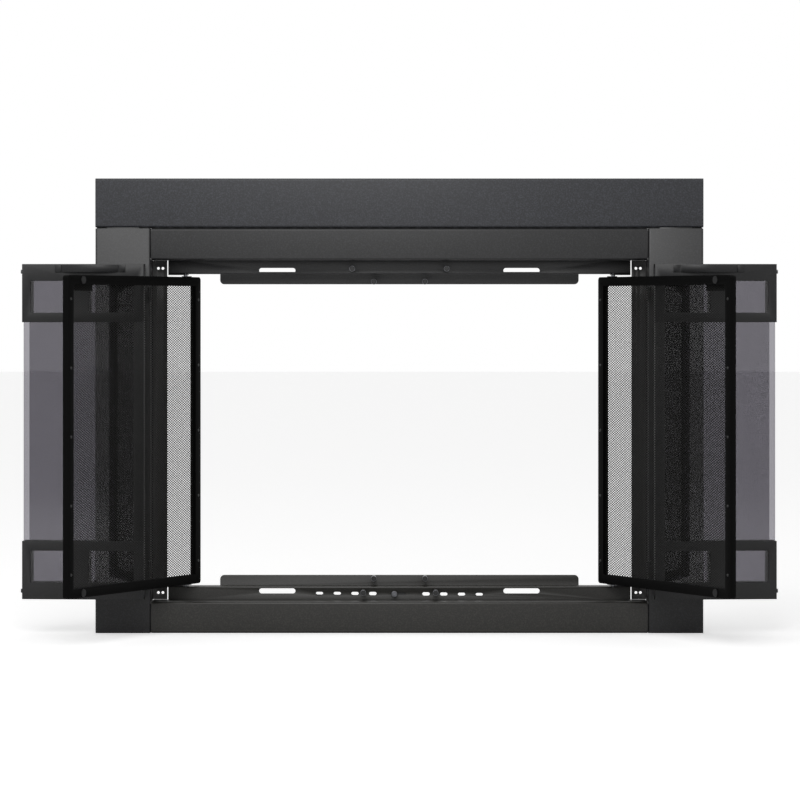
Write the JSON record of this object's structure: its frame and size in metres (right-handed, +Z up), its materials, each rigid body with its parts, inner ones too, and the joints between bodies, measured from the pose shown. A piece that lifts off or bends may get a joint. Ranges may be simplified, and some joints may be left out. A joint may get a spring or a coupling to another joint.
{
  "type": "fireplace glass door",
  "caption": "Folded-sheet fireplace surround with bi-fold glass doors, gate mesh doors behind them and a sliding air damper.",
  "frame": {"origin": "centre of the surround's lower edge, on the plane of the wall that it stands against", "axes": "+X to the right as seen from the room, +Y into the fireplace, +Z up"},
  "size_m": [1.404, 0.4048, 0.845],
  "materials": {
    "black_powder": "satin",
    "dark_steel": "satin",
    "bright_steel": "plated",
    "smoked_glass": "clear",
    "gasket": "woven"
  },
  "bodies": {
    "surround": {"lintel_fascia": "black_powder", "left_stile": "black_powder", "right_stile": "black_powder", "header_rail": "black_powder", "sill_rail": "black_powder", "lintel_joiners": "dark_steel", "rail_cleats": "dark_steel", "left_jamb": "black_powder", "right_jamb": "black_powder", "top_channel": "black_powder", "bottom_channel": "black_powder", "top_stop_plate": "black_powder", "bottom_stop_plate": "black_powder", "glass_door_catches": "bright_steel", "mesh_door_catches": "bright_steel", "mesh_pivot_brackets": "dark_steel", "left_frame_hinges": "dark_steel", "right_frame_hinges": "dark_steel", "frame_hinge_pins": "bright_steel", "damper_guides": "dark_steel"},
    "damper": {"damper_plate": "dark_steel", "damper_knob": "bright_steel"},
    "left_outer_panel": {"left_outer_top_plate": "black_powder", "left_outer_bottom_plate": "black_powder", "left_outer_glass": "smoked_glass", "left_outer_edge_trim": "black_powder", "left_outer_gaskets": "gasket", "left_outer_hinge_leaves": "dark_steel", "left_fold_pins": "bright_steel"},
    "left_inner_panel": {"left_inner_top_plate": "black_powder", "left_inner_bottom_plate": "black_powder", "left_inner_glass": "smoked_glass", "left_inner_meeting_trim": "black_powder", "left_inner_gaskets": "gasket", "left_handle": "dark_steel"},
    "left_mesh_door": {"left_mesh_frame": "black_powder", "left_mesh_screen": "dark_steel", "left_mesh_pivots": "bright_steel", "left_mesh_strikes": "bright_steel", "left_mesh_pull": "dark_steel"},
    "right_outer_panel": {"right_outer_top_plate": "black_powder", "right_outer_bottom_plate": "black_powder", "right_outer_glass": "smoked_glass", "right_outer_edge_trim": "black_powder", "right_outer_gaskets": "gasket", "right_outer_hinge_leaves": "dark_steel", "right_fold_pins": "bright_steel"},
    "right_inner_panel": {"right_inner_top_plate": "black_powder", "right_inner_bottom_plate": "black_powder", "right_inner_glass": "smoked_glass", "right_inner_meeting_trim": "black_powder", "right_inner_gaskets": "gasket", "right_handle": "dark_steel"},
    "right_mesh_door": {"right_mesh_frame": "black_powder", "right_mesh_screen": "dark_steel", "right_mesh_pivots": "bright_steel", "right_mesh_strikes": "bright_steel", "right_mesh_pull": "dark_steel"}
  },
  "joints": [
    {"name": "left_outer_hinge", "type": "hinge", "parent": "surround", "child": "left_outer_panel", "pos_m": [-0.4639, -0.0295, 0.375], "axis": [0, 0, 1], "range_deg": [0, 184]},
    {"name": "left_fold", "type": "hinge", "parent": "left_outer_panel", "child": "left_inner_panel", "pos_m": [-0.69854, -0.03765, 0.375], "axis": [0, 0, -1], "range_deg": [0, 180]},
    {"name": "left_mesh_swing", "type": "hinge", "parent": "surround", "child": "left_mesh_door", "pos_m": [-0.4, 0.02, 0.375], "axis": [0, 0, 1], "range_deg": [0, 119.55]},
    {"name": "right_outer_hinge", "type": "hinge", "parent": "surround", "child": "right_outer_panel", "pos_m": [0.4639, -0.0295, 0.375], "axis": [0, 0, -1], "range_deg": [0, 184]},
    {"name": "right_fold", "type": "hinge", "parent": "right_outer_panel", "child": "right_inner_panel", "pos_m": [0.69854, -0.03765, 0.375], "axis": [0, 0, 1], "range_deg": [0, 180]},
    {"name": "right_mesh_swing", "type": "hinge", "parent": "surround", "child": "right_mesh_door", "pos_m": [0.4, 0.02, 0.375], "axis": [0, 0, -1], "range_deg": [0, 119.55]},
    {"name": "damper_slide", "type": "slide", "parent": "surround", "child": "damper", "axis": [1, 0, 0], "range_m": [0, 0.01665]}
  ],
  "couplings": [
    {"joint": "left_mesh_swing", "follows": "left_outer_hinge", "ratio": 0.64973},
    {"joint": "right_mesh_swing", "follows": "right_outer_hinge", "ratio": 0.64973}
  ]
}
